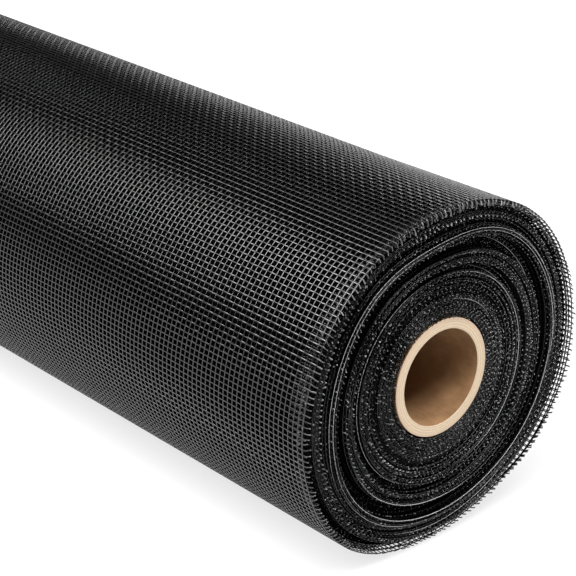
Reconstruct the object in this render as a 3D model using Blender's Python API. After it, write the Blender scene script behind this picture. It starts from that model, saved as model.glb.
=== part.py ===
"""Roll of coated glass-fibre insect screen, wound on a paper tube and lying on its side.

Run it with Blender 4.5: blender --background --python part.py
The roll lies along X. The origin is on the surface it lies on, under the middle of the roll.
The wound cloth is one solid. Its turns don't lie edge to edge: groups of them stand out of
the ends or are drawn in, and the last few turns lean. The cloth has one width, so a group
that stands out at one end is drawn in by as much at the other.
"""

import math
from typing import NamedTuple

import bmesh
import bpy

MM = 0.001

# Driving dimensions
CLOTH_WIDTH = 610 * MM
ROLL_RADIUS = 44 * MM
CORE_OUTER_RADIUS = 14.7 * MM
CORE_WALL = 2.65 * MM
CORE_CLEARANCE = 0.3 * MM

# How the soft roll lies: a flat spot below, and outer turns a little lower than the core
FLAT_HALF_ANGLE = math.radians(10)
ROLL_SAG = 0.4 * MM
PRESSED_SHARE = 0.4

# The last turns lean: they stand out of the +X end at the top, and least at the bottom
LEAN_MIDDLE = 1.0 * MM
LEAN_RISE = 2.6 * MM

ROLL_STEPS = 72
CORE_STEPS = 64

HALF_WIDTH = CLOTH_WIDTH / 2
CORE_BORE_RADIUS = CORE_OUTER_RADIUS - CORE_WALL
FIRST_TURN_RADIUS = CORE_OUTER_RADIUS + CORE_CLEARANCE
ROLL_HEIGHT = ROLL_RADIUS * math.cos(FLAT_HALF_ANGLE)
CORE_HEIGHT = ROLL_HEIGHT + ROLL_SAG


class TurnGroup(NamedTuple):
    """Turns that lie together, with millimetres that they stand out of the core's +X end."""

    name: str
    outer_radius: float
    inner_stand: float
    outer_stand: float


# From the core outwards, in millimetres. The leaning turns beyond the last row are separate.
TURN_GROUPS = (
    TurnGroup("first turns", 20.2, -0.6, 0.2),
    TurnGroup("even turns", 26.8, -0.6, 0.7),
    TurnGroup("shallow groove", 28.6, -1.2, -1.2),
    TurnGroup("speckled group", 32.2, 0.5, 1.0),
    TurnGroup("deep groove", 35.8, -2.4, -2.4),
    TurnGroup("proud ring", 37.8, 1.3, 1.5),
    TurnGroup("outer group", 41.2, 0.2, -0.2),
    TurnGroup("groove under the last turns", 42.8, -3.6, -3.6),
)


class EndPoint(NamedTuple):
    """One corner of the roll's end: its radius, its mean stand, and what leaning adds at the top.

    All three are in metres.
    """

    radius: float
    stand: float
    lean: float


def end_profile() -> list[EndPoint]:
    """Corners of the +X end from the first turn to the outermost, leaning turns included."""
    profile = []
    inner_radius = FIRST_TURN_RADIUS
    for group in TURN_GROUPS:
        outer_radius = group.outer_radius * MM
        profile.append(EndPoint(inner_radius, group.inner_stand * MM, 0))
        profile.append(EndPoint(outer_radius, group.outer_stand * MM, 0))
        inner_radius = outer_radius
    profile.append(EndPoint(inner_radius, LEAN_MIDDLE, LEAN_RISE))
    profile.append(EndPoint(ROLL_RADIUS, LEAN_MIDDLE, LEAN_RISE))
    return profile


def middle_shift(profile: list[EndPoint]) -> float:
    """Shift along X that puts the middle of the whole roll, its proud turns included, at X = 0."""
    highest = max(point.stand + point.lean for point in profile)
    lowest = min(point.stand - point.lean for point in profile)
    return -(highest + lowest) / 2


def turn_point(radius: float, angle: float) -> tuple[float, float]:
    """Y and Z of a point on the turn of this radius, with the angle from +Y towards +Z.

    Outer turns sag below the core, and those over the flat spot are pressed together.
    """
    outwards = (radius - FIRST_TURN_RADIUS) / (ROLL_RADIUS - FIRST_TURN_RADIUS)
    middle = CORE_HEIGHT - ROLL_SAG * outwards
    pressed_floor = PRESSED_SHARE * (ROLL_RADIUS - radius)
    return radius * math.cos(angle), max(middle + radius * math.sin(angle), pressed_floor)


def roll_ring(point: EndPoint, end_x: float) -> list[tuple[float, float, float]]:
    """Corners round the roll at one point of an end's profile."""
    ring = []
    for step in range(ROLL_STEPS):
        angle = 2 * math.pi * step / ROLL_STEPS
        y, z = turn_point(point.radius, angle)
        ring.append((end_x + point.stand + point.lean * math.sin(angle), y, z))
    return ring


def core_ring(radius: float, end_x: float) -> list[tuple[float, float, float]]:
    """Corners round the core at one of its four edges."""
    ring = []
    for step in range(CORE_STEPS):
        angle = 2 * math.pi * step / CORE_STEPS
        ring.append((end_x, radius * math.cos(angle), CORE_HEIGHT + radius * math.sin(angle)))
    return ring


def material(name: str, colour: tuple[float, float, float], roughness: float) -> bpy.types.Material:
    """A plain Principled material."""
    finish = bpy.data.materials.new(name)
    finish.use_nodes = True
    shader = finish.node_tree.nodes["Principled BSDF"]
    shader.inputs["Base Color"].default_value = (*colour, 1)
    shader.inputs["Roughness"].default_value = roughness
    shader.inputs["Metallic"].default_value = 0
    return finish


def closed_tube(name: str, rings: list, finish: bpy.types.Material) -> bpy.types.Object:
    """A solid whose rings follow each other round its wall, the last joined to the first."""
    shape = bmesh.new()
    loops = [[shape.verts.new(corner) for corner in ring] for ring in rings]
    for loop, following in zip(loops, loops[1:] + loops[:1]):
        steps = len(loop)
        for step in range(steps):
            after = (step + 1) % steps
            shape.faces.new((loop[step], loop[after], following[after], following[step]))
    bmesh.ops.recalc_face_normals(shape, faces=shape.faces)
    mesh = bpy.data.meshes.new(name)
    shape.to_mesh(mesh)
    shape.free()
    mesh.materials.append(finish)
    mesh.shade_smooth()
    mesh.set_sharp_from_angle(angle=math.radians(30))
    solid = bpy.data.objects.new(name, mesh)
    bpy.context.scene.collection.objects.link(solid)
    return solid


def build_roll(profile: list[EndPoint], shift: float) -> bpy.types.Object:
    """The wound cloth: out across the +X end, along the outside, in across the -X end."""
    near_end = [roll_ring(point, shift + HALF_WIDTH) for point in profile]
    far_end = [roll_ring(point, shift - HALF_WIDTH) for point in reversed(profile)]
    finish = material("black_screen", (0.03, 0.03, 0.032), 0.45)
    return closed_tube("screen_roll", near_end + far_end, finish)


def build_core(shift: float) -> bpy.types.Object:
    """The paper tube, cut square at both ends, as long as the cloth is wide."""
    edges = (
        (CORE_BORE_RADIUS, HALF_WIDTH),
        (CORE_OUTER_RADIUS, HALF_WIDTH),
        (CORE_OUTER_RADIUS, -HALF_WIDTH),
        (CORE_BORE_RADIUS, -HALF_WIDTH),
    )
    rings = [core_ring(radius, shift + end_x) for radius, end_x in edges]
    finish = material("kraft_paper", (0.72, 0.56, 0.42), 0.8)
    return closed_tube("core_tube", rings, finish)


def main() -> None:
    """Clear the scene and build both pieces."""
    for old in list(bpy.data.objects):
        bpy.data.objects.remove(old)
    profile = end_profile()
    shift = middle_shift(profile)
    build_roll(profile, shift)
    build_core(shift)


main()
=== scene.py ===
"""Looks of a roll of black insect screen on a paper tube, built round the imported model.

The cloth is a plain net of coated threads, one long strip wound round the tube. Its warps run
round the roll and its wefts run along it. The two outermost turns are whole nets. Of the turns
below them only the cut edges show, so there each end has its own threads, and a dark body
fills the roll behind them. Angles go round the roll from +Y towards +Z, and a place along the
strip is counted in turns from the tube.
"""

import logging
import math
from collections.abc import Callable
from dataclasses import dataclass
from enum import Enum
from typing import NamedTuple

import bpy
import numpy as np
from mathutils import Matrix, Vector


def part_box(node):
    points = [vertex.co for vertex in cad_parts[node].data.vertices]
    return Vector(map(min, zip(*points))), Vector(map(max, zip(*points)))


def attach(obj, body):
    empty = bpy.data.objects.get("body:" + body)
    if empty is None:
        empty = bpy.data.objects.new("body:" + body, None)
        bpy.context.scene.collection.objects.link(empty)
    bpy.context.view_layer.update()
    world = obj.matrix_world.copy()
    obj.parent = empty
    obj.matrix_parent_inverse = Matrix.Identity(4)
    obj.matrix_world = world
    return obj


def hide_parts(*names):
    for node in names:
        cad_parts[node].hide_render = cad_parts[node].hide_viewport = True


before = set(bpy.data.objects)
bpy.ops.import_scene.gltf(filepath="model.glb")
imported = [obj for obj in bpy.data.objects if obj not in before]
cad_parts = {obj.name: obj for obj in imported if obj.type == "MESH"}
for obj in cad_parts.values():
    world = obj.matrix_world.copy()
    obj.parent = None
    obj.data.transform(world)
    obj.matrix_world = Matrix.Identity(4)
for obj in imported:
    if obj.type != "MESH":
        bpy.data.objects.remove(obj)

MM = 0.001
INCH = 0.0254
TURN = 2 * math.pi
MERGE_DISTANCE = 0.01 * MM
SMOOTH_BELOW = math.radians(35)
ROUND_ABOVE = math.radians(40)

# The Mix node's sockets for colours, among those for other kinds of data
MIX_COLOURS = (6, 7)
MIX_RESULT = 2

Array = np.ndarray
Pair = tuple[float, float]
Triple = tuple[float, float, float]
Colour = tuple[float, float, float, float]

log = logging.getLogger("screen_roll")


class StandPoint(NamedTuple):
    """How far the strip's edge stands out of the tube's +X end at one radius, in millimetres.

    Lean is the share of the last turn's leaning that this turn takes. Sideways is its share of a
    second leaning, out at +Y and in at -Y, and alone its share of what only the last turn does.
    """

    radius: float
    stand: float
    lean: float
    sideways: float = 0.0
    alone: float = 0.0


# From the tube outwards
STANDS = tuple(StandPoint(*row) for row in (
    (15.0, 0.55, 0),
    (16.4, 0.4, 0),
    (17.6, 0.5, 0),
    (20.1, 0.35, 0),
    (20.8, 0.1, 0),
    (24.0, 0.2, 0),
    (26.4, 0.8, 0),
    (26.8, -1.4, 0),
    (28.4, -1.2, 0),
    (28.8, 0.4, 0),
    (32.1, 1.0, 0),
    (32.5, -2.4, 0),
    (35.6, -2.5, 0),
    (36.0, 1.2, 0),
    (37.7, 1.5, 0),
    (38.1, 0.1, 0),
    (41.0, -0.2, 0, 0.2),
    (41.4, -3.3, 0.2, 1.9),
    (41.9, -3.0, 0.4, 1.8),
    (42.15, 0.25, 0.9, 0.3),
    (42.45, 0.25, 0.9, 0.3),
    (42.5, -0.1, 0.95, 0.3),
    (42.8, -0.1, 0.95, 0.3),
    (42.85, -0.45, 1, 0.6),
    (43.12, -0.45, 1, 0.6),
    (43.2, -0.9, 1, 1.3),
    (43.47, -0.9, 1, 1.3),
    (43.55, 1.75, 1, 0, 1),
    (43.86, 1.75, 1, 0, 1),
))


class EdgePoint(NamedTuple):
    """The last turn's +X edge at one angle round the roll, in degrees.

    Lean is how far it stands out beyond its own level, and alone how far it does so without the
    turns below it, both in millimetres. Bend is how far its free ends turn into the roll, in
    degrees, and length is a share of their usual length.
    """

    angle: float
    lean: float
    bend: float
    length: float
    alone: float = 0.0


EDGE = tuple(EdgePoint(*row) for row in (
    (0, 0.45, 58, 1.1),
    (45, 0.7, 65, 0.9),
    (90, 1.0, 95, 1.15),
    (118, 1.2, 100, 0.6),
    (150, 0.75, 80, 0.65),
    (165, 0.3, 70, 0.85),
    (180, -0.2, 72, 0.9),
    (200, -0.5, 75, 0.9),
    (225, -1.6, 85, 0.9),
    (255, -3.5, 55, 0.75, -0.2),
    (285, -2.8, 22, 0.8, -0.6),
    (315, -0.7, 18, 0.8, -0.8),
    (345, 0.3, 38, 1.0, -0.1),
))


class Stretch(NamedTuple):
    """A stretch of the strip's +X edge.

    It starts at an angle, in degrees, on the turn nearest to a radius, in millimetres.
    """

    radius: float
    start: float
    degrees: float


# Here the cut ran along a warp, so that it shows its pale glass
CUT_WARPS = tuple(Stretch(*row) for row in (
    (19.3, 45, 30),
    (26.0, -60, 145),
    (26.5, 120, 120),
    (27.1, -10, 85),
    (27.6, 160, 50),
    (31.7, 218, 60),
    (34.3, 20, 55),
    (36.2, 205, 150),
    (36.9, -10, 220),
    (37.5, 0, 200),
    (37.6, 215, 45),
    (39.8, 250, 60),
))

# Here the free ends were cut clean, so that each shows its pale tip
CLEAN_ENDS = tuple(Stretch(*row) for row in (
    (23.7, 205, 45),
    (24.3, -70, 75),
    (28.9, -65, 100),
    (30.2, -50, 110),
    (30.9, -30, 250),
    (37.9, 140, 40),
    (38.8, 140, 75),
    (40.2, 60, 50),
))


class BulgeReach(Enum):
    """Which turns a bulge lifts."""

    OUTER = "the outer turns, from end to end"
    FLARE = "the outer turns, at the +X end"
    MIDDLE = "the turns most of the way out, from end to end"


class Bulge(NamedTuple):
    """A place round the roll where turns lie further out or in than a true circle.

    Angle and spread are in degrees and the height in millimetres.
    """

    angle: float
    height: float
    spread: float
    reach: BulgeReach


BULGES = (
    Bulge(232, 0.85, 27, BulgeReach.OUTER),
    Bulge(299, -1.1, 20, BulgeReach.OUTER),
    Bulge(50, 0.75, 26, BulgeReach.FLARE),
    Bulge(97, -2.7, 26, BulgeReach.MIDDLE),
    Bulge(165, -2.4, 50, BulgeReach.MIDDLE),
    Bulge(265, -1.4, 40, BulgeReach.MIDDLE),
    Bulge(10, 0.6, 50, BulgeReach.MIDDLE),
)


class Wave(NamedTuple):
    """One wave of the weave's slow drift.

    Its height is in millimetres and its length along the roll in metres. Turns is how many times
    it passes while the phase goes round once.
    """

    height: float
    length: float
    turns: float

    def at(self, x: Array, phase: Array) -> Array:
        """Drift in metres, at a place along the roll and a phase in radians."""
        return self.height * MM * np.sin(TURN * x / self.length + self.turns * phase)


# Drift along the roll and round it, shared by all turns or each turn's own
SHARED_ALONG = (Wave(0.14, 0.21, 1), Wave(-0.08, 0.09, -3))
SHARED_ROUND = (Wave(0.22, 0.137, 2), Wave(0.1, 0.061, -3))
OWN_ALONG = Wave(0.5, 0.16, 0.31)
OWN_ROUND = Wave(0.6, 0.13, 0.43)


def around(angle: Array, what: str) -> Array:
    """One field of the edge's points, at angles round the roll in radians."""
    angles = [point.angle for point in EDGE]
    values = [getattr(point, what) for point in EDGE]
    return np.interp(np.degrees(angle), angles, values, period=360)


@dataclass(frozen=True)
class ScreenCloth:
    """The net: its cut width, its threads and how far apart they lie."""

    width: float
    thread: float = 0.32 * MM
    thickness: float = 0.22 * MM
    warp_pitch: float = INCH / 16
    weft_pitch: float = INCH / 18
    overhang: float = 0.85 * MM


@dataclass(frozen=True)
class WoundForm:
    """How the strip is wound: where a point of the cloth lies on the roll.

    Some turns stand proud by chance and the others drop back. The inner turns do so less, and
    the last few lie even. Stretches of the edge fade in over a part of a turn.
    """

    cloth: ScreenCloth
    radius: float
    height: float
    tube_radius: float
    tube_height: float
    clearance: float = 0.3 * MM
    turn_step: float = 0.3527 * MM
    cut_angle: float = math.radians(-88)
    pressed_share: float = 0.4
    side_rise: float = 1.5 * MM
    side_middle: float = 0.4
    side_swing: float = 0.9
    proud_share: float = 0.42
    proud_rise: float = 0.55 * MM
    other_drop: float = 0.75 * MM
    turn_chance: float = 0.16 * MM
    ripple_chance: float = 0.09 * MM
    ripples: int = 3
    inner_share: float = 0.25
    growth: float = 2.2
    growth_start: float = 0.1
    even_turns: int = 3
    spare_turns: int = 4
    bare_rise: float = 0.3 * MM
    fade: float = 0.06
    outer_power: int = 3
    flare_power: float = 1.5
    flare_length: float = 6 * MM
    middle_reach: Triple = (0.4, 0.77, 1)
    hidden_drop: float = 0.2 * MM
    hidden_level: float = -1.3 * MM
    seed: int = 11

    @property
    def first(self) -> float:
        """Radius of the first turn's threads, at their middle."""
        return self.tube_radius + self.clearance + self.cloth.thickness / 2

    @property
    def last(self) -> float:
        """Radius of the last turn's threads, at their middle."""
        return self.radius - self.cloth.thickness / 2

    @property
    def turns(self) -> float:
        """Number of turns on the tube."""
        return (self.last - self.first) / self.turn_step

    def radius_at(self, turn: Array) -> Array:
        """Radius of the strip, counted in turns from the tube."""
        return self.first + self.turn_step * turn

    def angle_at(self, turn: Array) -> Array:
        """Angle round the roll, so that the strip ends at the cut."""
        return self.cut_angle - TURN * (self.turns - turn)

    def turn_after(self, length: Array) -> Array:
        """Place on the strip, in turns, at a length from its inner end."""
        middle = self.first / self.turn_step
        return np.sqrt(middle**2 + length / (math.pi * self.turn_step)) - middle

    def length_to(self, turn: Array | float) -> Array | float:
        """Length of the strip from its inner end to a place given in turns."""
        return TURN * (self.first * turn + self.turn_step * turn**2 / 2)

    def outwards(self, radius: Array) -> Array:
        """How far out a turn lies, from 0 for the first to 1 for the last."""
        return (radius - self.first) / (self.last - self.first)

    def centre(self, radius: Array) -> Array:
        """Height of a turn's centre, as the outer turns sag."""
        return self.tube_height + (self.height - self.tube_height) * self.outwards(radius)

    def place(self, x: Array, radius: Array, angle: Array) -> Array:
        """Points on the roll, with those over the flat spot pressed together.

        Args:
            x: place along the roll.
            radius: radius of the turn, at the middle of its threads.
            angle: angle round the roll.

        Returns:
            Points of three numbers.
        """
        floor = self.cloth.thickness / 2 + self.pressed_share * (self.last - radius)
        bulged = radius + self.bulging(x, angle, self.outwards(radius))
        y = bulged * np.cos(angle)
        z = np.maximum(self.centre(radius) + bulged * np.sin(angle), floor)
        return np.stack(np.broadcast_arrays(x, y, z), -1)

    def bulging(self, x: Array, angle: Array, outwards: Array) -> Array:
        """How far a point lies outside a true circle, its place outwards given from 0 to 1."""
        from_end = self.cloth.width / 2 + self.flare_length / 3 - x
        flare = np.clip(1 - from_end / self.flare_length, 0, 1) ** self.flare_power
        outer = np.clip(outwards, 0, 1) ** self.outer_power
        shares = {
            BulgeReach.OUTER: outer,
            BulgeReach.FLARE: outer * flare,
            BulgeReach.MIDDLE: np.interp(outwards, self.middle_reach, (0, 1, 0)),
        }
        total = 0.0
        for bulge in BULGES:
            apart = (angle - math.radians(bulge.angle) + math.pi) % TURN - math.pi
            height = bulge.height * MM * np.exp(-((apart / math.radians(bulge.spread)) ** 2))
            total = total + height * shares[bulge.reach]
        return total

    def turn_near(self, radius: float, angle: float) -> float:
        """Place on the strip that lies at an angle, as near as can be to a radius."""
        turn = (radius - self.first) / self.turn_step
        apart = (self.angle_at(turn) - angle + math.pi) % TURN - math.pi
        return turn - apart / TURN

    def within(self, stretches: tuple[Stretch, ...], turn: Array) -> Array:
        """How far places on the strip lie within some stretches, from 0 outside to 1 inside."""
        most = np.zeros_like(turn)
        for stretch in stretches:
            start = self.turn_near(stretch.radius * MM, math.radians(stretch.start))
            inside = np.minimum(turn - start, start + stretch.degrees / 360 - turn)
            most = np.maximum(most, np.clip(0.5 + inside / self.fade, 0, 1))
        return most

    def level(self, turn: Array, what: str) -> Array:
        """One field of the stands' points, at places given in turns."""
        radii = [point.radius for point in STANDS]
        values = [getattr(point, what) for point in STANDS]
        return np.interp(self.radius_at(turn) / MM, radii, values)

    def stand(self, turn: Array) -> Array:
        """How far the strip is shifted towards +X at a place given in turns."""
        angle = self.angle_at(turn)
        lean = self.level(turn, "lean") * around(angle, "lean") * MM
        swing = np.minimum(self.side_middle + self.side_swing * np.cos(angle), 1)
        sideways = self.level(turn, "sideways") * self.side_rise * swing
        alone = self.level(turn, "alone") * around(angle, "alone") * MM
        return self.level(turn, "stand") * MM + lean + sideways + alone + self.uneven(turn)

    def hidden(self, turn: Array) -> Array:
        """Whether the strip's edge lies back between its neighbours, where no light reaches it."""
        groove = self.level(turn, "stand") * MM < self.hidden_level
        cut = self.within(CUT_WARPS + CLEAN_ENDS, turn) > 0
        return (groove | (self.uneven(turn) < -self.hidden_drop)) & ~cut

    def uneven(self, turn: Array) -> Array:
        """Chance shifts of the turns towards +X, each of which fades into the next."""
        rng = np.random.default_rng(self.seed)
        count = int(self.turns) + self.spare_turns
        proud = rng.random(count) < self.proud_share
        levels = np.where(proud, self.proud_rise, -self.other_drop)
        levels = levels + rng.normal(0, self.turn_chance, count)
        ripples = rng.normal(0, self.ripple_chance, self.ripples * count)
        level = np.interp(turn, np.arange(count), levels)
        ripple = np.interp(turn * self.ripples, np.arange(self.ripples * count), ripples)
        grown = turn / self.turns * self.growth - self.growth_start
        uneven = np.clip(self.turns - self.even_turns - turn, 0, 1)
        bare = self.within(CUT_WARPS, turn)
        level = level * np.clip(grown, self.inner_share, 1) * (1 - bare)
        return (level + bare * self.bare_rise + ripple) * uneven

    def wander(self, x: Array, turn: Array) -> tuple[Array, Array]:
        """Slow drift of the weave, which keeps no thread quite straight.

        The last turns drift together at the +X end, and each more in its own way towards -X.

        Args:
            x: place across the strip.
            turn: place along the strip, in turns.

        Returns:
            Drift along the roll and drift round it, both in metres.
        """
        angle = self.angle_at(turn)
        own = np.clip(0.5 - x / self.cloth.width, 0, 1) * 2
        along = own * OWN_ALONG.at(x, TURN * turn)
        round_it = own * OWN_ROUND.at(x, TURN * turn)
        along = along + sum(wave.at(x, angle) for wave in SHARED_ALONG)
        round_it = round_it + sum(wave.at(x, angle) for wave in SHARED_ROUND)
        return along, round_it


def unit(vectors: Array) -> Array:
    """The same directions, each of length one."""
    return vectors / np.linalg.norm(vectors, axis=-1, keepdims=True)


def radial(angle: Array) -> Array:
    """Direction out of the roll at an angle."""
    return np.stack([np.zeros_like(angle), np.cos(angle), np.sin(angle)], -1)


@dataclass
class Threads:
    """Many threads of one piece, each with as many points as the others.

    Each has three corners, the widest face turned out of the roll, and is shaded as an oval.
    At each point, along is its place along the weave in pitches, roundness is how round it
    looks, girth is how thick it is and bare is how much bare glass it shows.
    """

    middle: Array
    angle: Array
    along: Array
    width: float
    height: float
    roundness: Array | float
    girth: Array
    bare: Array | float = 0.0
    sides: int = 3
    flat_below: float = 0.5

    def cross_axes(self) -> tuple[Array, Array]:
        """Two directions across each thread at each of its points."""
        outwards = radial(self.angle)
        tangent = unit(np.gradient(self.middle, axis=1))
        across = unit(outwards - tangent * (outwards * tangent).sum(-1, keepdims=True))
        return across, np.cross(tangent, across)

    def build(self, name: str) -> bpy.types.Object:
        """One joined mesh of all the threads, closed at both ends.

        Args:
            name: the piece's name.

        Returns:
            The piece, with a UV map that runs along and round each thread.
        """
        count, points, _ = self.middle.shape
        across, beside = (axis[:, :, None] for axis in self.cross_axes())
        turn = math.pi * (2 * np.arange(self.sides)[:, None] + 1) / self.sides
        rise, spread = self.height / 2, self.width / 2
        ring = across * rise * np.cos(turn) + beside * spread * np.sin(turn)
        corners = self.middle[:, :, None] + ring * self.girth[:, :, None, None]
        number = np.arange(count * points * self.sides).reshape(count, points, self.sides)
        after = np.roll(number, -1, axis=2)
        walls = np.stack([number[:, :-1], after[:, :-1], after[:, 1:], number[:, 1:]], -1)
        walls = walls.reshape(-1)
        caps = np.concatenate([number[:, 0, ::-1].reshape(-1), number[:, -1].reshape(-1)])
        mesh = self.filled(name, corners.reshape(-1, 3), walls, caps)
        self.map_along(mesh, walls, caps)
        roundness = np.broadcast_to(self.roundness, (count, points))[:, :, None, None]
        facing = np.where(roundness < self.flat_below, np.abs(np.cos(turn)), np.cos(turn))
        normals = unit(across * facing + beside * np.sin(turn) * roundness).reshape(-1, 3)
        tips = [self.middle[:, 0] - self.middle[:, 1], self.middle[:, -1] - self.middle[:, -2]]
        cut = np.repeat(unit(np.concatenate(tips)), self.sides, 0)
        mesh.normals_split_custom_set(np.concatenate([normals[walls], cut]))
        bare = np.repeat(np.broadcast_to(self.bare, (count, points)).reshape(-1), self.sides)
        layer = mesh.attributes.new("bare_glass", "FLOAT", "POINT")
        layer.data.foreach_set("value", bare.astype(np.float32))
        return linked(name, mesh)

    def filled(self, name: str, corners: Array, walls: Array, caps: Array) -> bpy.types.Mesh:
        """A mesh from its corners, its four-cornered walls and its end caps."""
        mesh = bpy.data.meshes.new(name)
        loops = np.concatenate([walls, caps]).astype(np.int32)
        starts = np.concatenate([
            np.arange(0, len(walls), 4),
            np.arange(len(walls), len(loops), self.sides),
        ])
        mesh.vertices.add(len(corners))
        mesh.vertices.foreach_set("co", corners.astype(np.float32).reshape(-1))
        mesh.loops.add(len(loops))
        mesh.loops.foreach_set("vertex_index", loops)
        mesh.polygons.add(len(starts))
        mesh.polygons.foreach_set("loop_start", starts.astype(np.int32))
        is_cap = np.arange(len(starts)) >= len(walls) // 4
        mesh.polygons.foreach_set("material_index", is_cap.astype(np.int32))
        mesh.update(calc_edges=True)
        mesh.shade_smooth()
        return mesh

    def map_along(self, mesh: bpy.types.Mesh, walls: Array, caps: Array) -> None:
        """Gives the mesh a UV map: along the weave in pitches, and from 0 to 1 round the thread."""
        loops = np.concatenate([walls, caps])
        place = np.repeat(self.along.reshape(-1), self.sides)[loops]
        side = (loops % self.sides) / self.sides
        closing = np.zeros(len(loops), bool)
        last_side = np.arange(len(walls)) // 4 % self.sides == self.sides - 1
        closing[:len(walls)] = last_side & (side[:len(walls)] == 0)
        corners = np.stack([place, side + closing], -1).astype(np.float32)
        mesh.uv_layers.new(name="Thread").uv.foreach_set("vector", corners.reshape(-1))


def maths(operation: str) -> Callable[..., "Value"]:
    """A method of a value that adds one Math node, on itself and on one more value or number."""

    def method(first: "Value", second: "Value | float" = 0) -> "Value":
        """One Math node."""
        return first.nodes.node("ShaderNodeMath", {"operation": operation}, {0: first, 1: second})

    return method


class Value:
    """A number or colour that varies over a surface: one output socket, which operators extend.

    Power takes the exponent of a value that isn't negative, and angle_from the run of a slope
    whose rise is the value.
    """

    __add__ = maths("ADD")
    __sub__ = maths("SUBTRACT")
    __mul__ = maths("MULTIPLY")
    __truediv__ = maths("DIVIDE")
    power = maths("POWER")
    larger = maths("MAXIMUM")
    angle_from = maths("ARCTAN2")
    sine = maths("SINE")

    def __init__(self, nodes: "NodeSheet", socket: bpy.types.NodeSocket) -> None:
        """Keeps the socket and the sheet that it is on."""
        self.nodes = nodes
        self.socket = socket

    def wave(self) -> "Value":
        """Sine of an angle in radians, brought between 0 and 1."""
        return self.sine() * 0.5 + 0.5


class NodeSheet:
    """The nodes of one material, ending in a Principled shader."""

    def __init__(self, name: str) -> None:
        """Makes the material with a bare Principled shader."""
        self.material = bpy.data.materials.new(name)
        self.material.use_nodes = True
        self.tree = self.material.node_tree
        self.shader = self.tree.nodes["Principled BSDF"]

    def node(self, kind: str, settings: dict, inputs: dict, output: int | str = 0) -> Value:
        """Adds one node.

        Args:
            kind: the node's type.
            settings: the node's own settings, set before its sockets.
            inputs: numbers, colours or values for its sockets, by name or place.
            output: which output to return.

        Returns:
            The output as a value.
        """
        made = self.tree.nodes.new(kind)
        for key, setting in settings.items():
            setattr(made, key, setting)
        for key, entry in inputs.items():
            self.feed(made.inputs[key], entry)
        return Value(self, made.outputs[output])

    def feed(self, socket: bpy.types.NodeSocket, entry: "Value | float | tuple") -> None:
        """Links a value to a socket, or sets the socket's own number."""
        if isinstance(entry, Value):
            self.tree.links.new(entry.socket, socket)
        else:
            socket.default_value = entry

    def set(self, **sockets: "Value | float | tuple") -> None:
        """Feeds the shader's sockets, with _ for each space in a name."""
        for name, entry in sockets.items():
            self.feed(self.shader.inputs[name.replace("_", " ")], entry)

    def place(self) -> Value:
        """Object coordinates."""
        return self.node("ShaderNodeTexCoord", {}, {}, "Object")

    def parts(self, vector: Value) -> tuple[Value, Value, Value]:
        """X, Y and Z of a vector."""
        first = self.node("ShaderNodeSeparateXYZ", {}, {0: vector})
        outputs = first.socket.node.outputs
        return first, Value(self, outputs[1]), Value(self, outputs[2])

    def noise(self, vector: Value, size: float, detail: float = 2, rough: float = 0.5) -> Value:
        """Noise from 0 to 1 whose grain has about this size in metres."""
        sockets = {"Vector": vector, "Scale": 1 / size, "Detail": detail, "Roughness": rough}
        return self.node("ShaderNodeTexNoise", {}, sockets, "Fac")

    def stretched(self, vector: Value, scale: Triple) -> Value:
        """A vector with each of its parts multiplied."""
        return self.node("ShaderNodeVectorMath", {"operation": "MULTIPLY"}, {0: vector, 1: scale})

    def spread(
        self, value: Value, low: float, high: float, to_low: float = 0, to_high: float = 1
    ) -> Value:
        """Maps a range to another, and holds it within."""
        numbers = {"From Min": low, "From Max": high, "To Min": to_low, "To Max": to_high}
        return self.node("ShaderNodeMapRange", {"clamp": True}, {"Value": value} | numbers)

    def blend(self, share: Value, first: "Value | Colour", second: "Value | Colour") -> Value:
        """Mixes two colours."""
        inputs = {0: share, MIX_COLOURS[0]: first, MIX_COLOURS[1]: second}
        return self.node("ShaderNodeMix", {"data_type": "RGBA"}, inputs, MIX_RESULT)

    def bump(self, height: Value, distance: float, strength: float = 1) -> Value:
        """A normal that follows a height from 0 to 1 over this distance in metres."""
        sockets = {"Height": height, "Distance": distance, "Strength": strength}
        return self.node("ShaderNodeBump", {}, sockets, "Normal")


def grey(level: float) -> Colour:
    """A neutral colour."""
    return (level, level, level, 1)


@dataclass(frozen=True)
class CoatedThread:
    """Black coated glass fibre: dark and glossy, crimped where threads pass over each other."""

    name: str
    dark: float = 0.001
    light: float = 0.0035
    gloss: float = 0.6
    crimp: float = 0.05 * MM
    glass: float = 0.3
    roughness: Pair = (0.13, 0.22)

    def material(self) -> bpy.types.Material:
        """The finish, on the threads' own UV map."""
        sheet = NodeSheet(self.name)
        place = sheet.place()
        along, _, _ = sheet.parts(sheet.node("ShaderNodeUVMap", {"uv_map": "Thread"}, {}))
        coat = sheet.noise(place, 2.4 * MM)
        shade = sheet.spread(coat, 0.3, 0.7)
        bare = sheet.node("ShaderNodeAttribute", {"attribute_name": "bare_glass"}, {}, "Fac")
        coating = sheet.blend(shade, grey(self.dark), grey(self.light))
        sheet.set(
            Base_Color=sheet.blend(bare, coating, grey(self.glass)),
            Roughness=sheet.spread(coat, 0.3, 0.7, *self.roughness),
            Specular_IOR_Level=self.gloss,
            Normal=sheet.bump((along * math.pi).wave(), self.crimp),
        )
        return sheet.material


@dataclass(frozen=True)
class CutGlass:
    """The cut through a thread, where its grey glass fibres show inside the black coating."""

    dark: float = 0.02
    pale: float = 0.5
    roughness: float = 0.5

    def material(self) -> bpy.types.Material:
        """The finish: some cuts show more glass than others."""
        sheet = NodeSheet("cut_glass_fibre")
        shown = sheet.spread(sheet.noise(sheet.place(), 0.9 * MM), 0.4, 0.65)
        sheet.set(
            Base_Color=sheet.blend(shown, grey(self.dark), grey(self.pale)),
            Roughness=self.roughness,
        )
        return sheet.material


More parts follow.
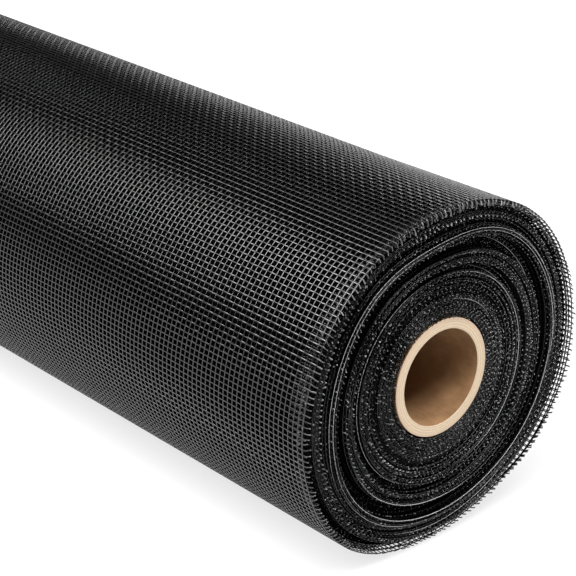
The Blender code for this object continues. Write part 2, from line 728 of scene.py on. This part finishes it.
@dataclass(frozen=True)
class PackedTurns:
    """The turns behind the threads that are modelled: a dark mass with the same weave. Its finish
    is partly painted shade: the net is black, but here it is darker still and has no gloss.
    """

    cloth: ScreenCloth
    radius: float
    height: float
    dark: float = 0.0005
    light: float = 0.003
    relief: float = 0.14 * MM
    narrowness: float = 4

    def material(self) -> bpy.types.Material:
        """The finish, on Object coordinates: painted shade, with no gloss."""
        sheet = NodeSheet("packed_turns_painted_shade")
        x, y, z = sheet.parts(sheet.place())
        round_it = (z - self.height).angle_from(y) * (self.radius / self.cloth.weft_pitch)
        along = x / self.cloth.warp_pitch
        warps = (along * TURN).wave().power(self.narrowness)
        wefts = (round_it * TURN).wave().power(self.narrowness)
        threads = warps.larger(wefts)
        # Painted shade: a darker base than the coated thread's and no gloss, as the turns above
        # shade this mass.
        sheet.set(
            Base_Color=sheet.blend(threads, grey(self.dark), grey(self.light)),
            Roughness=0.6,
            Specular_IOR_Level=0,
            Normal=sheet.bump(threads, self.relief),
        )
        return sheet.material


@dataclass(frozen=True)
class KraftPaper:
    """Wound brown paper: a pale cut edge with the strips' layers, a browner skin."""

    tube_height: float
    outer: float
    layer: float = 0.66 * MM
    strip: float = 68 * MM
    pale_cut: Colour = (0.69, 0.55, 0.39, 1)
    dark_cut: Colour = (0.5, 0.385, 0.265, 1)
    rim: Colour = (0.55, 0.41, 0.295, 1)
    pale_skin: Colour = (0.42, 0.24, 0.112, 1)
    dark_skin: Colour = (0.2, 0.103, 0.044, 1)
    seam: Colour = (0.16, 0.08, 0.04, 1)

    def cut_edge(self) -> bpy.types.Material:
        """The pale cut across the layers."""
        sheet = NodeSheet("kraft_cut_edge")
        place = sheet.place()
        _, y, z = sheet.parts(place)
        above = z - self.tube_height
        radius = (y * y + above * above).power(0.5)
        layers = (radius * (TURN / self.layer)).wave()
        fibre = sheet.noise(place, 0.5 * MM, 3, 0.6)
        blurred = radius + sheet.noise(place, 5 * MM) * (1 * MM)
        tone = sheet.spread(layers * 0.33 + fibre * 0.67, 0.25, 0.75)
        body = sheet.blend(tone, self.dark_cut, self.pale_cut)
        near_skin = sheet.spread(blurred, self.outer - 0.6 * MM, self.outer + 0.3 * MM)
        sheet.set(
            Base_Color=sheet.blend(near_skin, body, self.rim),
            Roughness=0.85,
            Normal=sheet.bump(layers * 0.5 + fibre * 0.5, 0.05 * MM, 0.6),
        )
        return sheet.material

    def skin(self) -> bpy.types.Material:
        """The smooth brown strip that lines the bore and covers the outside."""
        sheet = NodeSheet("kraft_skin")
        place = sheet.place()
        x, y, z = sheet.parts(place)
        angle = (z - self.tube_height).angle_from(y)
        fibre = sheet.noise(sheet.stretched(place, (0.35, 1, 1)), 0.9 * MM, 3, 0.6)
        clouds = sheet.noise(place, 7 * MM)
        beside_seam = sheet.spread(((x / self.strip + angle / TURN) * TURN).wave(), 0, 0.004)
        tone = sheet.spread(fibre * 0.3 + clouds * 0.7, 0.3, 0.7)
        body = sheet.blend(tone, self.dark_skin, self.pale_skin)
        sheet.set(
            Base_Color=sheet.blend(beside_seam, self.seam, body),
            Roughness=0.72,
            Normal=sheet.bump(fibre * 0.3 + beside_seam * 0.7, 0.06 * MM, 0.5),
        )
        return sheet.material


class End(Enum):
    """The two ends of the roll, with the direction that each faces along X."""

    NEAR = 1
    FAR = -1


class RingPoint(NamedTuple):
    """One corner of a turned profile: place along X, radius and height of its centre."""

    x: float
    radius: float
    height: float


def select_none() -> None:
    """Deselects everything, because the frame's nodes come selected."""
    bpy.ops.object.select_all(action="DESELECT")


def linked(name: str, data: bpy.types.ID) -> bpy.types.Object:
    """A new object in the scene, which shows this mesh, lamp or camera."""
    made = bpy.data.objects.new(name, data)
    bpy.context.scene.collection.objects.link(made)
    return made


def turned_solid(name: str, profile: list[RingPoint], steps: int) -> bpy.types.Object:
    """Turns a closed profile round the X axis, as a ring that is pulled from corner to corner.

    Args:
        name: the piece's name.
        profile: corners in order, the last joined to the first.
        steps: corners round the roll.

    Returns:
        The closed piece, with its faces pointing out.
    """
    select_none()
    start = profile[0]
    bpy.ops.mesh.primitive_circle_add(
        vertices=steps,
        radius=start.radius,
        fill_type="NOTHING",
        location=(start.x, 0, start.height),
        rotation=(0, math.pi / 2, 0),
    )
    piece = bpy.context.object
    piece.name = piece.data.name = name
    bpy.ops.object.transform_apply(location=True, rotation=True, scale=True)
    bpy.ops.object.mode_set(mode="EDIT")
    bpy.ops.mesh.select_all(action="SELECT")
    for before, point in zip(profile, profile[1:] + profile[:1]):
        shift = (point.x - before.x, 0, point.height - before.height)
        bpy.ops.mesh.extrude_region_move(TRANSFORM_OT_translate={"value": shift})
        grow = point.radius / before.radius
        bpy.ops.transform.resize(value=(1, grow, grow), center_override=(point.x, 0, point.height))
    bpy.ops.mesh.select_all(action="SELECT")
    bpy.ops.mesh.remove_doubles(threshold=MERGE_DISTANCE)
    bpy.ops.mesh.normals_make_consistent(inside=False)
    bpy.ops.object.mode_set(mode="OBJECT")
    bpy.ops.object.shade_smooth_by_angle(angle=SMOOTH_BELOW)
    return piece


def apply_bevel(piece: bpy.types.Object, width: float, segments: int) -> None:
    """Rounds a piece's sharp edges for good."""
    bevel = piece.modifiers.new("rounded", "BEVEL")
    bevel.width = width
    bevel.segments = segments
    bevel.limit_method = "ANGLE"
    bevel.angle_limit = ROUND_ABOVE
    select_none()
    bpy.context.view_layer.objects.active = piece
    bpy.ops.object.modifier_apply(modifier=bevel.name)


@dataclass
class PaperTube:
    """The tube that the screen is wound on."""

    length: float
    outer: float
    height: float
    wall: float = 2.65 * MM
    wall_shares: Pair = (0.3, 0.65)
    end_length: float = 30 * MM
    rounding: float = 0.14 * MM
    cut_depth: float = 0.16 * MM
    steps: int = 160

    def build(self) -> bpy.types.Object:
        """The tube with softly rounded cut edges, its cut faces paler than its skin."""
        inner = self.outer - self.wall
        half = self.length / 2
        stations = [half, half - self.end_length, 0, -half + self.end_length, -half]
        radii = [inner + self.wall * share for share in self.wall_shares]
        profile = [RingPoint(x, inner, self.height) for x in reversed(stations)]
        profile += [RingPoint(half, radius, self.height) for radius in radii]
        profile += [RingPoint(x, self.outer, self.height) for x in stations]
        profile += [RingPoint(-half, radius, self.height) for radius in reversed(radii)]
        tube = turned_solid("paper_tube", profile, self.steps)
        apply_bevel(tube, self.rounding, 2)
        paper = KraftPaper(self.height, self.outer)
        tube.data.materials.append(paper.skin())
        tube.data.materials.append(paper.cut_edge())
        for face in tube.data.polygons:
            if abs(face.center.x) > half - self.cut_depth:
                face.material_index = 1
        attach(tube, "root")
        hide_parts("core_tube")
        return tube


@dataclass(frozen=True)
class Fringe:
    """The wefts' free ends beyond the last warp.

    They bend into the roll, by a share of what the edge's points say, and slant round it. From
    turn to turn the cut leaves between the shortest and the longest share of the length. By
    chance each end is longer or shorter, bends more or less and slants its own way. Each shows a
    share of bare glass, drawn between two numbers and held between 0 and 1.
    """

    length: float
    steps: int
    bend_share: float = 1.0
    slant: float = 0.0
    shortest: float = 1.0
    longest: float = 1.0
    unevenness: float = 0.0
    length_chance: float = 0.8
    length_limits: Pair = (-0.5, 0.8)
    bend_chance: float = 1.3
    bend_limits: Pair = (0.1, 1.5)
    slant_chance: float = 0.6
    first_step: float = 0.35
    tip: float = 1.35
    frayed: Pair = (0.0, 1.0)
    # Painted light: how much more bare glass the lit side at -Y and the top show.
    painted_light_middle: float = 0.65
    painted_light_swing: float = 0.5
    seed: int = 5

    def beyond(self, numbers: Array, turn: Array, angle: Array) -> tuple[Array, ...]:
        """Path of each free end, from the last warp on.

        Args:
            numbers: the wefts' numbers.
            turn: the wefts' places along the strip, in turns.
            angle: the wefts' angles round the roll.

        Returns:
            Reach along the roll, drop into the roll and shift round it (in pitches), each with
            one row for a weft and one column for a step.
        """
        rng = np.random.default_rng(self.seed)
        chance = rng.normal(0, self.unevenness, (3, len(numbers), 1))
        knots = np.arange(int(2 * turn.max()) + 3)
        left = np.interp(2 * turn, knots, rng.uniform(self.shortest, self.longest, len(knots)))
        longer = 1 + np.clip(self.length_chance * chance[0], *self.length_limits)
        length = (self.length * left * around(angle, "length"))[:, None] * longer
        more = np.clip(1 + self.bend_chance * chance[1], *self.bend_limits)
        bend = self.bend_share * np.radians(around(angle, "bend"))[:, None] * more
        share = (np.arange(self.steps) + self.first_step) / (self.steps - 1 + self.first_step)
        reach = np.cumsum(np.cos(bend * share), 1) * length / self.steps
        drop = np.cumsum(np.sin(bend * share), 1) * length / self.steps
        shift = (self.slant + self.slant_chance * chance[2]) * share
        return reach, drop, shift

    def bare(self, angle: Array) -> Array:
        """Share of bare glass at each step of free ends at these angles, most of it at the tip.

        Painted light: more of it shows at the side at -Y and the top, the sides that the lamps
        light.
        """
        rng = np.random.default_rng(self.seed + 1)
        painted_light_share = np.clip(self.painted_light_middle - self.painted_light_swing * np.cos(angle), 0, 1)
        most = np.clip(rng.uniform(*self.frayed, len(angle)), 0, 1) * painted_light_share
        return most[:, None] * ((np.arange(self.steps) + 1) / self.steps)


@dataclass
class OuterTurn:
    """One of the outermost turns, as a whole net from end to end."""

    form: WoundForm
    depth: int
    warp_steps: int
    fringe: Fringe
    weft_points: int = 15
    warp_roundness: float = 0.2
    weft_roundness: float = 0.25
    free_roundness: float = 0.7
    most_frayed: float = 1.45
    least_frayed: float = 0.2
    frayed_warps: float = 1.5
    in_step_at: float = math.radians(-222)

    @property
    def span(self) -> Pair:
        """First and last place of this turn on the strip, in turns."""
        return self.form.turns - self.depth - 1, self.form.turns - self.depth

    @property
    def inner(self) -> float:
        """Place of the last warp across the strip."""
        return self.form.cloth.width / 2 - self.form.cloth.overhang

    def nudge(self) -> float:
        """Shift, in pitches, that lays this turn's wefts under the last turn's at one angle."""
        place = self.form.turns + (self.in_step_at - self.form.cut_angle) / TURN
        pitch = self.form.cloth.weft_pitch
        last, own = (self.form.length_to(place - depth) / pitch for depth in (0, self.depth))
        return (own - last) % 1

    def girth(self, across_strip: Array, angle: Array, beyond: float) -> Array:
        """How thick threads are: frayed ones beyond a place across the strip, most so at +Y."""
        share = np.clip(0.5 + np.cos(angle), self.least_frayed, 1)
        frayed = 1 + (self.most_frayed - 1) * share
        return np.where(np.abs(across_strip) > beyond, frayed, 1.0)

    def warps(self, low: float, high: float) -> Threads:
        """The warps whose place across the strip lies between two shares of its width."""
        form, cloth = self.form, self.form.cloth
        count = int(2 * self.inner / cloth.warp_pitch) + 1
        pitch = 2 * self.inner / (count - 1)
        numbers = np.arange(round(count * low), round(count * high))[:, None]
        across_strip = self.inner - pitch * numbers
        turn = np.linspace(*self.span, self.warp_steps + 1)[None]
        drift_x, _ = form.wander(across_strip, turn)
        x = across_strip + form.stand(turn) + drift_x
        angle = np.broadcast_to(form.angle_at(turn), x.shape)
        middle = form.place(x, form.radius_at(turn), angle)
        along = form.length_to(turn) / cloth.weft_pitch + numbers
        girth = self.girth(across_strip, angle, self.inner - pitch * self.frayed_warps)
        size = (cloth.thread, cloth.thickness)
        return Threads(middle, angle, along, *size, self.warp_roundness, girth)

    def wefts(self) -> Threads:
        """The wefts of this turn, with their free ends."""
        form, cloth = self.form, self.form.cloth
        low, high = (math.ceil(form.length_to(turn) / cloth.weft_pitch) for turn in self.span)
        numbers = np.arange(low, high)
        turn = form.turn_after((numbers + self.nudge()) * cloth.weft_pitch)
        reach, drop, shift = self.fringe.beyond(numbers, turn, form.angle_at(turn))
        woven = np.tile(np.linspace(-self.inner, self.inner, self.weft_points), (len(turn), 1))
        across_strip = np.concatenate([-self.inner - reach[:, ::-1], woven, self.inner + reach], 1)
        still = np.zeros_like(woven)
        inwards = np.concatenate([drop[:, ::-1], still, drop], 1)
        sideways = np.concatenate([shift[:, ::-1], still, shift], 1) * cloth.weft_pitch
        free = np.abs(across_strip) > self.inner
        roundness = np.where(free, self.free_roundness, self.weft_roundness)
        drift_x, drift_round = form.wander(across_strip, turn[:, None])
        radius = form.radius_at(turn)[:, None] - inwards
        angle = form.angle_at(turn)[:, None] + (drift_round + sideways) / radius
        x = across_strip + form.stand(turn)[:, None] + drift_x
        middle = form.place(x, radius, angle)
        along = across_strip / cloth.warp_pitch + numbers[:, None]
        girth = self.girth(across_strip, angle, self.inner)
        girth[:, [0, -1]] *= self.fringe.tip
        # Bare glass at the free ends: real, but more of it on the lit side at -Y and the top, which
        # is painted light.
        frayed = self.fringe.bare(form.angle_at(turn))
        bare = np.concatenate([frayed[:, ::-1], still, frayed], 1)
        return Threads(middle, angle, along, cloth.thread, cloth.thickness, roundness, girth, bare)


@dataclass
class TurnEnds:
    """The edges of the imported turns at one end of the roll: free ends and the last warps."""

    form: WoundForm
    end: End
    warp_rows: int
    warp_steps: int
    last_turn: float
    fringe: Fringe
    stretches: int = 4
    slimness: float = 0.85
    roundness: float = 1.0
    outer_girth: float = 1.3
    growing: Pair = (41 * MM, 42.2 * MM)
    bare_slimming: float = 0.3
    clean_growth: float = 0.3
    cut_share: float = 0.9
    root_length: float = 0.2 * MM

    @property
    def size(self) -> Pair:
        """Width and height of each thread."""
        return self.slimness * self.form.cloth.thread, self.form.cloth.thickness

    def last_warp(self, turn: Array) -> Array:
        """Place along X of the last warp at this end."""
        cloth = self.form.cloth
        return self.end.value * (cloth.width / 2 - cloth.overhang) + self.form.stand(turn)

    def girth(self, turn: Array) -> Array:
        """How thick the threads are: more so in the outer turns, which light shines through."""
        return np.interp(self.form.radius_at(turn), self.growing, (1, self.outer_girth))

    def shown(self, stretches: tuple[Stretch, ...], turn: Array) -> Array:
        """How far places lie within stretches of the edge, which only the +X end has."""
        return self.form.within(stretches, turn) * (self.end is End.NEAR)

    def warps(self, rows: range, hidden: bool | None = None) -> Threads:
        """Stretches of the last few warps, several to a turn.

        Args:
            rows: which warps, counted from the edge.
            hidden: whether to make those that lie back, the others, or all of them.

        Returns:
            The stretches, end to end.
        """
        form, cloth = self.form, self.form.cloth
        starts = np.arange(int(self.stretches * self.last_turn)) / self.stretches
        if hidden is not None:
            starts = starts[form.hidden(starts + 0.5 / self.stretches) == hidden]
        steps = np.linspace(0, 1 / self.stretches, self.warp_steps // self.stretches + 1)
        turn = np.tile(starts, len(rows))[:, None] + steps
        row = np.repeat(np.array(rows), len(starts))[:, None]
        x = self.last_warp(turn) - self.end.value * cloth.warp_pitch * row
        angle = form.angle_at(turn)
        middle = form.place(x, form.radius_at(turn), angle)
        along = form.length_to(turn) / cloth.weft_pitch + row
        bare = np.where(row == 0, self.shown(CUT_WARPS, turn), 0)
        girth = self.girth(turn) * (1 - self.bare_slimming * bare)
        return Threads(middle, angle, along, *self.size, self.roundness, girth, bare)

    def wefts(self, hidden: bool) -> Threads:
        """The wefts' ends, each bent its own way: those that lie back, or the others."""
        form, cloth, fringe = self.form, self.form.cloth, self.fringe
        numbers = np.arange(int(form.length_to(self.last_turn) / cloth.weft_pitch))
        numbers = numbers[form.hidden(form.turn_after(numbers * cloth.weft_pitch)) == hidden]
        turn = form.turn_after(numbers * cloth.weft_pitch)
        cut = self.shown(CUT_WARPS, turn)[:, None]
        clean = self.shown(CLEAN_ENDS, turn)[:, None]
        path = fringe.beyond(numbers, turn, form.angle_at(turn))
        reach, drop, shift = (way * (1 - self.cut_share * cut) for way in path)
        still = np.zeros((len(numbers), 1))
        root = still - cloth.warp_pitch * (self.warp_rows - 1) - self.root_length
        x = self.last_warp(turn)[:, None] + self.end.value * np.concatenate([root, still, reach], 1)
        radius = form.radius_at(turn)[:, None] - np.concatenate([still, still, drop], 1)
        radius = np.maximum(radius, form.tube_radius + form.clearance / 2)
        sideways = np.concatenate([still, still, shift], 1) * cloth.weft_pitch
        angle = form.angle_at(turn)[:, None] + sideways / radius
        middle = form.place(x, radius, angle)
        along = np.broadcast_to(numbers[:, None] + 0.5, angle.shape)
        tip = fringe.tip + self.clean_growth * clean
        girth = np.concatenate([still + 1] * (fringe.steps + 1) + [tip], 1)
        girth = girth * self.girth(turn)[:, None]
        from_root = (np.arange(fringe.steps) + 1) / fringe.steps
        # Bare glass at the free ends: real, but more of it on the lit side at -Y and the top, which
        # is painted light.
        bare = np.maximum(fringe.bare(form.angle_at(turn)), clean * from_root)
        bare = np.concatenate([still, still, bare], 1)
        return Threads(middle, angle, along, *self.size, self.roundness, girth, bare)


@dataclass
class ScreenRoll:
    """The wound screen: two whole outer turns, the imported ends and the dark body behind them."""

    form: WoundForm
    whole_turns: int = 2
    body_gap: float = 0.5 * MM
    body_recess: float = 4.3 * MM
    body_steps: int = 144

    def dress(self, piece: bpy.types.Object, *finishes: bpy.types.Material) -> None:
        """Gives a piece its finishes and its place in the frame."""
        for finish in finishes:
            piece.data.materials.append(finish)
        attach(piece, "root")
        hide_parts("screen_roll")
        log.info("%s: %d faces", piece.name, len(piece.data.polygons))

    def body(self) -> bpy.types.Object:
        """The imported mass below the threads, stepped at its ends as the turns are."""
        form = self.form
        outer = form.radius_at(form.turns - self.whole_turns)
        outer = outer - form.cloth.thickness - self.body_gap
        rings = []
        for point in STANDS:
            radius = min(point.radius * MM, outer)
            rings.append((point.stand * MM, radius, form.centre(radius)))
            if radius == outer:
                break
        end = form.cloth.width / 2 - self.body_recess
        near = [RingPoint(stand + end, *ring) for stand, *ring in rings]
        far = [RingPoint(stand - end, *ring) for stand, *ring in reversed(rings)]
        body = turned_solid("packed_body", near + far, self.body_steps)
        for corner in body.data.vertices:
            x, y, z = corner.co
            radius = np.hypot(y, z - form.tube_height)
            corner.co = form.place(x, radius, math.atan2(z - form.tube_height, y))
        return body

    def build(self) -> None:
        """Builds and dresses every piece of the wound screen."""
        form = self.form
        cut = CutGlass().material()
        top_thread = CoatedThread("coated_thread").material()
        edge_thread = CoatedThread("coated_edge_thread", glass=0.5).material()
        # Painted shade: the turn below the outer one gets a darker copy of the coated thread with
        # no gloss, as if shaded by the turn above it.
        shaded_under_look = CoatedThread("coated_thread_painted_shade_below", dark=0.0005, light=0.0015, gloss=0)
        painted_shade_under_thread = shaded_under_look.material()
        # Painted shade: threads of the edge that lie back between their neighbours, and the warps
        # behind the last one, get a copy of the coated thread with less gloss, as if in shade.
        shaded_deep_thread = CoatedThread("coated_thread_painted_shade_behind", gloss=0.13).material()
        curl = Fringe(1.6 * MM, 5, slant=0.3, unevenness=0.17, frayed=(0.25, 0.95))
        outer = OuterTurn(form, 0, 88, curl)
        under = OuterTurn(form, 1, 66, curl)
        self.dress(outer.warps(0, 0.5).build("outer_warps_near"), top_thread, cut)
        self.dress(outer.warps(0.5, 1).build("outer_warps_far"), top_thread, cut)
        self.dress(outer.wefts().build("outer_wefts"), top_thread, cut)
        self.dress(under.warps(0, 1).build("under_warps"), painted_shade_under_thread, cut)
        self.dress(under.wefts().build("under_wefts"), painted_shade_under_thread, cut)
        last_turn = form.turns - self.whole_turns
        ends = Fringe(
            0.62 * MM,
            2,
            bend_share=0.5,
            slant=0.15,
            shortest=0.15,
            longest=1.6,
            unevenness=0.2,
            frayed=(-3.0, 1.0),
        )
        for end, rows, steps in ((End.NEAR, 3, 64), (End.FAR, 1, 48)):
            edges = TurnEnds(form, end, rows, steps, last_turn, ends)
            label = f"{end.name.lower()}_end"
            self.dress(edges.warps(range(1), False).build(f"{label}_warps"), edge_thread, cut)
            self.dress(edges.warps(range(1), True).build(f"{label}_hidden_warps"), shaded_deep_thread, cut)
            if rows > 1:
                deep = edges.warps(range(1, rows)).build(f"{label}_deep_warps")
                self.dress(deep, shaded_deep_thread, cut)
            self.dress(edges.wefts(False).build(f"{label}_wefts"), edge_thread, cut)
            self.dress(edges.wefts(True).build(f"{label}_hidden_wefts"), shaded_deep_thread, cut)
        packed = PackedTurns(form.cloth, form.radius_at(last_turn), form.height).material()
        self.dress(self.body(), packed)


class Softbox(NamedTuple):
    """A rectangular lamp: its place, the point that it faces, its size and its power in watts."""

    name: str
    place: Triple
    target: Triple
    size: Pair
    power: float


LIT_MIDDLE = (0.2, 0, 0.04)
LIT_END = (0.3, 0, 0.04)

# Two at the roll's side, a white wall behind it and three at its end
SOFTBOXES = (
    Softbox("key", (-0.7, -0.67, 1.14), LIT_MIDDLE, (0.8, 0.6), 12),
    Softbox("side", (-0.514, -0.95, 1.27), LIT_MIDDLE, (0.45, 1.6), 38),
    Softbox("backdrop", (0.2, 1.7, 0.75), LIT_MIDDLE, (4.0, 1.5), 8.8),
    Softbox("end_top", (0.75, -0.04, 1.3), LIT_END, (1.3, 0.6), 26.5),
    Softbox("end_side", (1.665, 0.72, 0.36), LIT_END, (2.0, 0.5), 4.2),
    Softbox("end_front", (1.5, -1.1, 0.5), LIT_END, (1.0, 0.8), 0.3),
)


@dataclass
class Studio:
    """Floor, soft light and the camera at the photograph's angle."""

    near_end: Vector
    camera_offset: Triple = (0.2729, -0.2861, 0.1967)
    camera_pitch: float = math.radians(23.84)
    camera_heading: float = math.radians(48.81)
    focal_pixels: float = 1899.5
    frame_pixels: int = 576
    sensor_width: float = 36.0
    nearest: float = 0.01
    floor_size: float = 12.0
    floor_glow: float = 0.73
    painted_glow_fade: Pair = (-0.5, -0.12)
    room_strength: float = 0.12

    def floor(self) -> None:
        """A white floor that glows, with painted light: brightest near the roll and dimmer in front
        of it, towards -Y.
        """
        select_none()
        bpy.ops.mesh.primitive_plane_add(size=self.floor_size, location=(0, 0, 0))
        floor = bpy.context.object
        floor.name = "floor"
        sheet = NodeSheet("white_floor")
        place = sheet.place()
        _, y, _ = sheet.parts(place)
        near = sheet.spread(y, *self.painted_glow_fade)
        sheet.set(
            Base_Color=sheet.blend(sheet.noise(place, 0.3), grey(0.24), grey(0.26)),
            Roughness=0.9,
            # Painted light: the glow fades from the roll's side towards -Y.
            Emission_Color=sheet.blend(near, grey(0.25), grey(1.0)),
            Emission_Strength=self.floor_glow,
        )
        floor.data.materials.append(sheet.material)

    def lights(self) -> None:
        """The softboxes and a faint white room."""
        for softbox in SOFTBOXES:
            data = bpy.data.lights.new(softbox.name, "AREA")
            data.shape = "RECTANGLE"
            data.size, data.size_y = softbox.size
            data.energy = softbox.power
            lamp = linked(softbox.name, data)
            lamp.location = softbox.place
            facing = Vector(softbox.target) - Vector(softbox.place)
            lamp.rotation_euler = facing.to_track_quat("-Z", "Y").to_euler()
        world = bpy.data.worlds.new("white_room")
        world.use_nodes = True
        background = world.node_tree.nodes["Background"]
        background.inputs["Color"].default_value = grey(1.0)
        background.inputs["Strength"].default_value = self.room_strength
        bpy.context.scene.world = world

    def camera(self) -> None:
        """The camera, placed from the near end of the tube."""
        data = bpy.data.cameras.new("camera")
        data.sensor_width = self.sensor_width
        data.lens = data.sensor_width * self.focal_pixels / self.frame_pixels
        data.clip_start = self.nearest
        camera = linked("camera", data)
        camera.location = self.near_end + Vector(self.camera_offset)
        camera.rotation_euler = (math.pi / 2 - self.camera_pitch, 0, self.camera_heading)
        bpy.context.scene.camera = camera

    def build(self) -> None:
        """Sets up the whole studio."""
        self.floor()
        self.lights()
        self.camera()
        bpy.context.scene.view_settings.view_transform = "Standard"


def main() -> None:
    """Builds the object and the studio, and keeps the boxes of both models."""
    logging.basicConfig(level=logging.INFO, format="%(message)s")
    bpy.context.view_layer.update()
    tube_low, tube_high = (Vector(corner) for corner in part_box("core_tube"))
    roll_low, roll_high = (Vector(corner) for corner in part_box("screen_roll"))
    tube_radius = (tube_high.y - tube_low.y) / 2
    tube_height = (tube_high.z + tube_low.z) / 2
    tube_length = tube_high.x - tube_low.x
    roll_radius = (roll_high.y - roll_low.y) / 2
    tube = PaperTube(tube_length, tube_radius, tube_height).build()
    log.info("%s: %d faces", tube.name, len(tube.data.polygons))
    cloth = ScreenCloth(tube_length)
    form = WoundForm(cloth, roll_radius, roll_high.z - roll_radius, tube_radius, tube_height)
    ScreenRoll(form).build()
    Studio(Vector((tube_high.x, 0, tube_height))).build()


if __name__ == "__main__":
    main()
